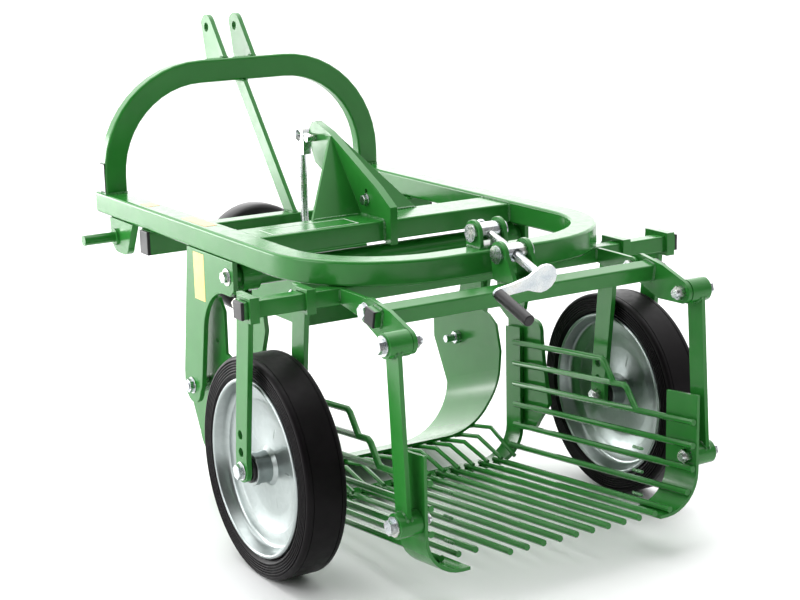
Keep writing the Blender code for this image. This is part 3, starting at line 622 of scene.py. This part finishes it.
def labels():
    """Blank labels where the machine carries its stickers, and the empty frame of its nameplate."""
    low, high = corners_of("side_plate_left")
    near = (low.x - FILM, high.y - 0.1160, high.z - 0.099)
    label("label_side", near, (low.x + 0.001, high.y - 0.0700, high.z - 0.006), YELLOW)
    low, high = corners_of("hitch_hoop")
    near = Vector((low.x - FILM, low.y + 0.002, low.z + 0.004))
    far = Vector((low.x + 0.001, high.y - 0.002, low.z + 0.066))
    label("label_hoop_edge", near, far, PAINT["black_plastic"])
    border = 0.0025
    inset = Vector((0.0, border, border))
    label("label_hoop", near + inset - Vector((0.0003, 0, 0)), far - inset, WHITE)
    low, high = corners_of("main_frame")
    for name, rear, long in (("front", 0.345, 0.040), ("rear", 0.075, 0.110)):
        near = (low.x + 0.012, rear, high.z - 0.001)
        label("label_frame_" + name, near, (low.x + 0.038, rear + long, high.z + FILM), ORANGE)
    low, high = corners_of("rear_beam")
    bm = bmesh.new()
    outline_into(bm, (low.x + 0.040, low.y + 0.010), (-0.060, high.y - 0.030), high.z, 0.0016)
    finished("nameplate_frame", bm, WHITE, "chassis")


def rectangle_beads(bm, low, high, z, radius):
    """Weld round a tube's foot, standing on a level face."""
    corners = [(low[0], low[1], z), (high[0], low[1], z), (high[0], high[1], z), (low[0], high[1], z)]
    for i in range(4):
        bead_into(bm, corners[i], corners[(i + 1) % 4], radius)


def hoop_welds_into(bm):
    low, high = corners_of("hitch_hoop")
    frame_side, top = corners_of("main_frame")[1].xz
    for way in (-1, 1):
        x0, x1 = sorted((way * frame_side, way * (frame_side - FRAME_TUBE)))
        rectangle_beads(bm, (x0 + 0.003, low.y), (x1 - 0.003, high.y), top + 0.0005, HOOP_BEAD)


def beam_welds_into(bm):
    low, high = corners_of("rear_beam")
    for x in (low.x, high.x):
        line = [(low.y, low.z + 0.004), (low.y, high.z), (high.y, high.z), (high.y, low.z + 0.004)]
        for one, two in zip(line, line[1:]):
            bead_into(bm, (x, *one), (x, *two), PLATE_BEAD)
    low, high = corners_of("front_beam")
    frame_side = corners_of("main_frame")[1].x
    for way in (-1, 1):
        x0, x1 = sorted((way * frame_side, way * (frame_side - FRAME_TUBE)))
        for y in (low.y, high.y):
            bead_into(bm, (x0, y, high.z), (x1, y, high.z), TUBE_BEAD)


def side_welds_into(bm, side):
    """The welds of one side's plate, link bracket, cradle lug and top link ear."""
    way = -1 if side == "left" else 1
    low, high = corners_of("side_plate_" + side)
    x = high.x if side == "left" else low.x
    bead_into(bm, (x, low.y + 0.01, high.z), (x, high.y - 0.045, high.z), PLATE_BEAD)
    low, high = corners_of("lower_link_bracket_" + side)
    x = way * (corners_of("main_frame")[1].x - 0.0148)
    bead_into(bm, (x, low.y + 0.004, high.z), (x, high.y - 0.004, high.z), TUBE_BEAD)
    low, high = corners_of("cradle_lug_" + side)
    for x in (low.x, high.x):
        bead_into(bm, (x, high.y, low.z + 0.016), (x, high.y, high.z - 0.002), BAR_BEAD)
    low, high = corners_of("top_link_ear_" + side)
    hoop = corners_of("hitch_hoop")[1]
    for x in (low.x, high.x):
        bead_into(bm, (x, low.y + 0.002, hoop.z), (x, hoop.y, hoop.z), BAR_BEAD)
        bead_into(bm, (x, hoop.y, hoop.z), (x, hoop.y, low.z + 0.004), BAR_BEAD)


def frame_welds():
    bm = bmesh.new()
    hoop_welds_into(bm)
    beam_welds_into(bm)
    for side in SIDES:
        side_welds_into(bm, side)
    finished("frame_welds", bm, WELD, "chassis")


def tower_welds():
    """The welds of the tower on its beam, of the front clevis and of the hoop's strut."""
    bm = bmesh.new()
    low, high = corners_of("tower")
    beam_low, beam_high = corners_of("rear_beam")
    front, top = beam_high.y - 0.004, beam_high.z
    for x0, x1 in ((low.x, -0.010), (0.010, high.x)):
        for y in (front, front - 0.007):
            bead_into(bm, (x0, y, top), (x1, y, top), PLATE_BEAD)
    for x in (-0.008, 0.008):
        bead_into(bm, (x, beam_low.y, top), (x, front, top), TUBE_BEAD)
        bead_into(bm, (x, beam_low.y, beam_low.z), (x, beam_low.y, top), TUBE_BEAD)
    low, high = corners_of("screw_clevis_front")
    foot = corners_of("main_frame")[1].z + 0.0005
    rectangle_beads(bm, (low.x + 0.002, low.y), (high.x - 0.002, high.y - 0.002), foot, CLEVIS_BEAD)
    low, high = corners_of("hoop_strut")
    foot = corners_of("front_beam")[1].z
    for x in (low.x, high.x):
        bead_into(bm, (x, low.y + 0.002, foot), (x, low.y + 0.040, foot), BAR_BEAD)
        bead_into(bm, (x, high.y - 0.044, high.z), (x, high.y - 0.003, high.z), BAR_BEAD)
    finished("tower_welds", bm, WELD, "chassis")


def cradle_welds():
    """The rear clevis's feet, and a bead round the tilted tube on both faces of each cradle plate."""
    bm = bmesh.new()
    low, high = corners_of("screw_clevis_rear")
    for x in (low.x + 0.004, high.x - 0.004):
        bead_into(bm, (x, low.y, low.z + 0.001), (x, high.y - 0.004, low.z + 0.001), TUBE_BEAD)
    middle, half = cradle_section()
    turn = Matrix.Rotation(CRADLE_TILT, 4, "X")
    corners = [(0, -half, -half), (0, half, -half), (0, half, half), (0, -half, half)]
    corners = [(middle + turn @ Vector(corner)).yz for corner in corners]
    for side in SIDES:
        low, high = corners_of("cradle_plate_" + side)
        for x in (low.x, high.x):
            for i in range(4):
                one, two = corners[i], corners[(i + 1) % 4]
                bead_into(bm, (x, *one), (x, *two), BAR_BEAD)
    finished("cradle_welds", bm, WELD, "cradle")


def sieve_welds():
    """Beads where the side rods meet their bracket, and beside each rod at the front strap."""
    bm = bmesh.new()
    for side in SIDES:
        low, high = corners_of("sieve_bracket_" + side)
        x = low.x if side == "right" else high.x
        for i in range(3):
            z = low.z + 0.036 + SIDE_ROD_PITCH * i
            bead_into(bm, (x, high.y - 0.004, z), (x, high.y - 0.034, z + 0.003), BAR_BEAD)
    low, high = corners_of("sieve_basket")
    y = high.y - STRAP_WIDE
    z = low.z + 0.0150 + STRAP_WIDE * math.tan(SIEVE_SLOPE)
    for i in range(-6, 6):
        for way in (-1, 1):
            x = (i + 0.5) * ROD_PITCH + way * 0.006
            bead_into(bm, (x, y + 0.001, z), (x, y + 0.013, z - 0.0012), FINE_BEAD)
    finished("sieve_welds", bm, WELD, "sieve")


def rocker_welds():
    """Beads round each boss, along both faces of the rocker's bar."""
    round_boss = [math.radians(a) for a in (205, 235, 262, 290, 335)]
    for side in SIDES:
        low, high = corners_of("rocker_" + side)
        bar = (high.x - 0.022, high.x - 0.014) if side == "right" else (low.x + 0.014, low.x + 0.022)
        bm = bmesh.new()
        for pin, way in (("rocker_top_pin_", 1), ("rocker_bottom_pin_", -1)):
            centre = centre_of(pin + side)
            for x in bar:
                middle = Vector((x, centre.y, centre.z))
                out, up = Vector((0, BOSS_WELD_R, 0)), Vector((0, 0, way * BOSS_WELD_R))
                spots = [middle + around(out, up, turn) for turn in round_boss]
                for one, two in zip(spots, spots[1:]):
                    bead_into(bm, one, two, FINE_BEAD)
        finished("rocker_welds_" + side, bm, WELD, BODY_OF["rocker_" + side])


# Bolts that get a washer: its radius, and how far its seat lies inside the head's outer face
WASHERS = {
    "axle_bolt_": (0.0165, 0.0108),
    "share_bolt_": (0.0165, 0.0119),
    "cradle_pin_": (0.0155, 0.0099),
}


def plain_washers():
    """Plain washers under the heads of the axle, share and cradle bolts."""
    bm = bmesh.new()
    for node, (radius, inside) in WASHERS.items():
        section = [(0.0, 0.0085), (0.0, radius - 0.0006), (0.0006, radius), (0.0018, radius)]
        section += [(0.0022, radius - 0.0006), (0.0022, 0.0085)]
        for side, way in (("left", -1), ("right", 1)):
            low, high = corners_of(node + side)
            head = low.x if side == "left" else high.x
            centre = centre_of(node + side)
            lathe_into(bm, section, (head - way * inside, centre.y, centre.z), (way, 0, 0), 40)
    finished("plain_washers", bm, PAINT["zinc"], "chassis")


def bolt_into(bm, spot, way, washer, head, height):
    """A plain washer and a hexagon head on it, standing on a face at spot."""
    spot, way = Vector(spot), Vector(way)
    lathe_into(bm, [(0.0, 0.003), (0.0, washer), (0.0020, washer), (0.0020, 0.003)], spot, way, 40)
    hexagon_into(bm, spot + way * 0.0021, way, head, height)


def plate_bolts():
    """The bolts that hold the cross tube between the side plates, and the tower's gusset bolt."""
    bm = bmesh.new()
    centre = centre_of("cross_tube")
    for side, way in (("left", -1), ("right", 1)):
        low, high = corners_of("side_plate_" + side)
        face = low.x if side == "left" else high.x
        bolt_into(bm, (face, centre.y - 0.008, centre.z + 0.003), (way, 0, 0), 0.0165, 0.0118, 0.0085)
    beam = corners_of("rear_beam")[1]
    for way in (-1, 1):
        spot = (way * 0.0080, beam.y - 0.030, beam.z + 0.032)
        bolt_into(bm, spot, (way, 0, 0), 0.0125, 0.0105, 0.0078)
    finished("plate_bolts", bm, PAINT["zinc"], "chassis", BOLT_EDGE)


def set_bolts():
    """The bolts that clamp each leg's sleeve on the wheel beam, screwed into welded nuts in front."""
    nuts, bolts = bmesh.new(), bmesh.new()
    low, high = corners_of("wheel_beam")
    shank = [(0.008, 0.001), (0.008, 0.0048), (0.024, 0.0048), (0.024, 0.001)]
    for side, way in (("left", -1), ("right", 1)):
        for leg in ("wheel_leg_inner_", "wheel_leg_outer_"):
            sleeve_end = max(abs(corner.x) for corner in corners_of(leg + side))
            spot = Vector((way * (sleeve_end - 0.010), high.y + 0.0073, (low.z + high.z) / 2))
            hexagon_into(nuts, spot, (0, 1, 0), 0.0105, 0.009)
            lathe_into(bolts, shank, spot, (0, 1, 0), 20)
            hexagon_into(bolts, spot + Vector((0, 0.0235, 0)), (0, 1, 0), 0.0095, 0.0065)
    finished("sleeve_nuts", nuts, PAINT["green_paint"], "chassis", BOLT_EDGE)
    finished("set_bolts", bolts, PAINT["zinc"], "chassis", BOLT_EDGE)


# ---------------------------------------------------------------- studio


def camera():
    """The camera behind the machine's left rear corner, looking down at it."""
    look = Vector((-math.sin(YAW) * math.cos(PITCH), math.cos(YAW) * math.cos(PITCH), math.sin(PITCH)))
    right = Vector((math.cos(YAW), math.sin(YAW), 0))
    up = right.cross(look)
    across = around(right, up, ROLL)
    above = around(up, -right, ROLL)
    turn = Matrix((across, above, -look)).transposed().to_4x4()
    data = bpy.data.cameras.new("camera")
    data.lens = LENS
    data.sensor_width = 36.0
    data.clip_end = 200
    obj = linked(bpy.data.objects.new("camera", data))
    axle_y = centre_of("tyre_left").y
    obj.matrix_world = Matrix.Translation(Vector(EYE) + Vector((0, axle_y, 0))) @ turn
    bpy.context.scene.camera = obj


def floor():
    bm = bmesh.new()
    bmesh.ops.create_circle(bm, cap_ends=True, segments=96, radius=FLOOR_R)
    mesh = bpy.data.meshes.new("studio_floor")
    bm.to_mesh(mesh)
    bm.free()
    mesh.materials.append(floor_paint())
    linked(bpy.data.objects.new("studio_floor", mesh))


def softbox(name, spot, target, size, watts):
    """A rectangular lamp that lights the machine but isn't seen itself."""
    data = bpy.data.lights.new(name, "AREA")
    data.shape = "RECTANGLE"
    data.size, data.size_y = size
    data.energy = watts
    obj = linked(bpy.data.objects.new(name, data))
    obj.location = spot
    obj.rotation_euler = (Vector(target) - Vector(spot)).to_track_quat("-Z", "Y").to_euler()
    obj.visible_camera = False


def studio_world():
    """A surround that lights the machine most from beyond it, and is seen as plain white."""
    world = bpy.data.worlds.new("studio")
    world.use_nodes = True
    tree = world.node_tree
    background = tree.nodes["Background"]
    background.inputs["Color"].default_value = (1, 1, 1, 1)
    place = tree.nodes.new("ShaderNodeTexCoord")
    away = tree.nodes.new("ShaderNodeVectorMath")
    away.operation = "DOT_PRODUCT"
    away.inputs[1].default_value = (-math.sin(YAW), math.cos(YAW), 0.15)
    level = tree.nodes.new("ShaderNodeMapRange")
    level.interpolation_type = "SMOOTHSTEP"
    limits = {"From Min": -0.55, "From Max": 0.85, "To Min": BEHIND, "To Max": BEYOND}
    for name, value in limits.items():
        level.inputs[name].default_value = value
    seen = tree.nodes.new("ShaderNodeLightPath")
    strength = tree.nodes.new("ShaderNodeMath")
    strength.operation = "MAXIMUM"
    tree.links.new(place.outputs["Generated"], away.inputs[0])
    tree.links.new(away.outputs["Value"], level.inputs["Value"])
    tree.links.new(level.outputs["Result"], strength.inputs[0])
    tree.links.new(seen.outputs["Is Camera Ray"], strength.inputs[1])
    tree.links.new(strength.outputs[0], background.inputs["Strength"])
    bpy.context.scene.world = world


def light():
    studio_world()
    softbox("top", (0.0, 0.6, 3.4), (0, 0, 0), (3.0, 3.0), 50)
    softbox("left", (-4.2, 0.4, 1.9), (0, 0, 0.3), (2.4, 3.0), 90)
    softbox("low_left", (-2.1, 3.0, 0.60), (-0.3, 0.0, 0.45), (1.8, 1.1), 60)
    bpy.context.scene.view_settings.view_transform = "Standard"


steelwork()
wheels()
guard()
screw_thread()
tube_caps()
cradle_caps()
labels()
frame_welds()
tower_welds()
cradle_welds()
sieve_welds()
rocker_welds()
plain_washers()
plate_bolts()
set_bolts()
camera()
floor()
light()
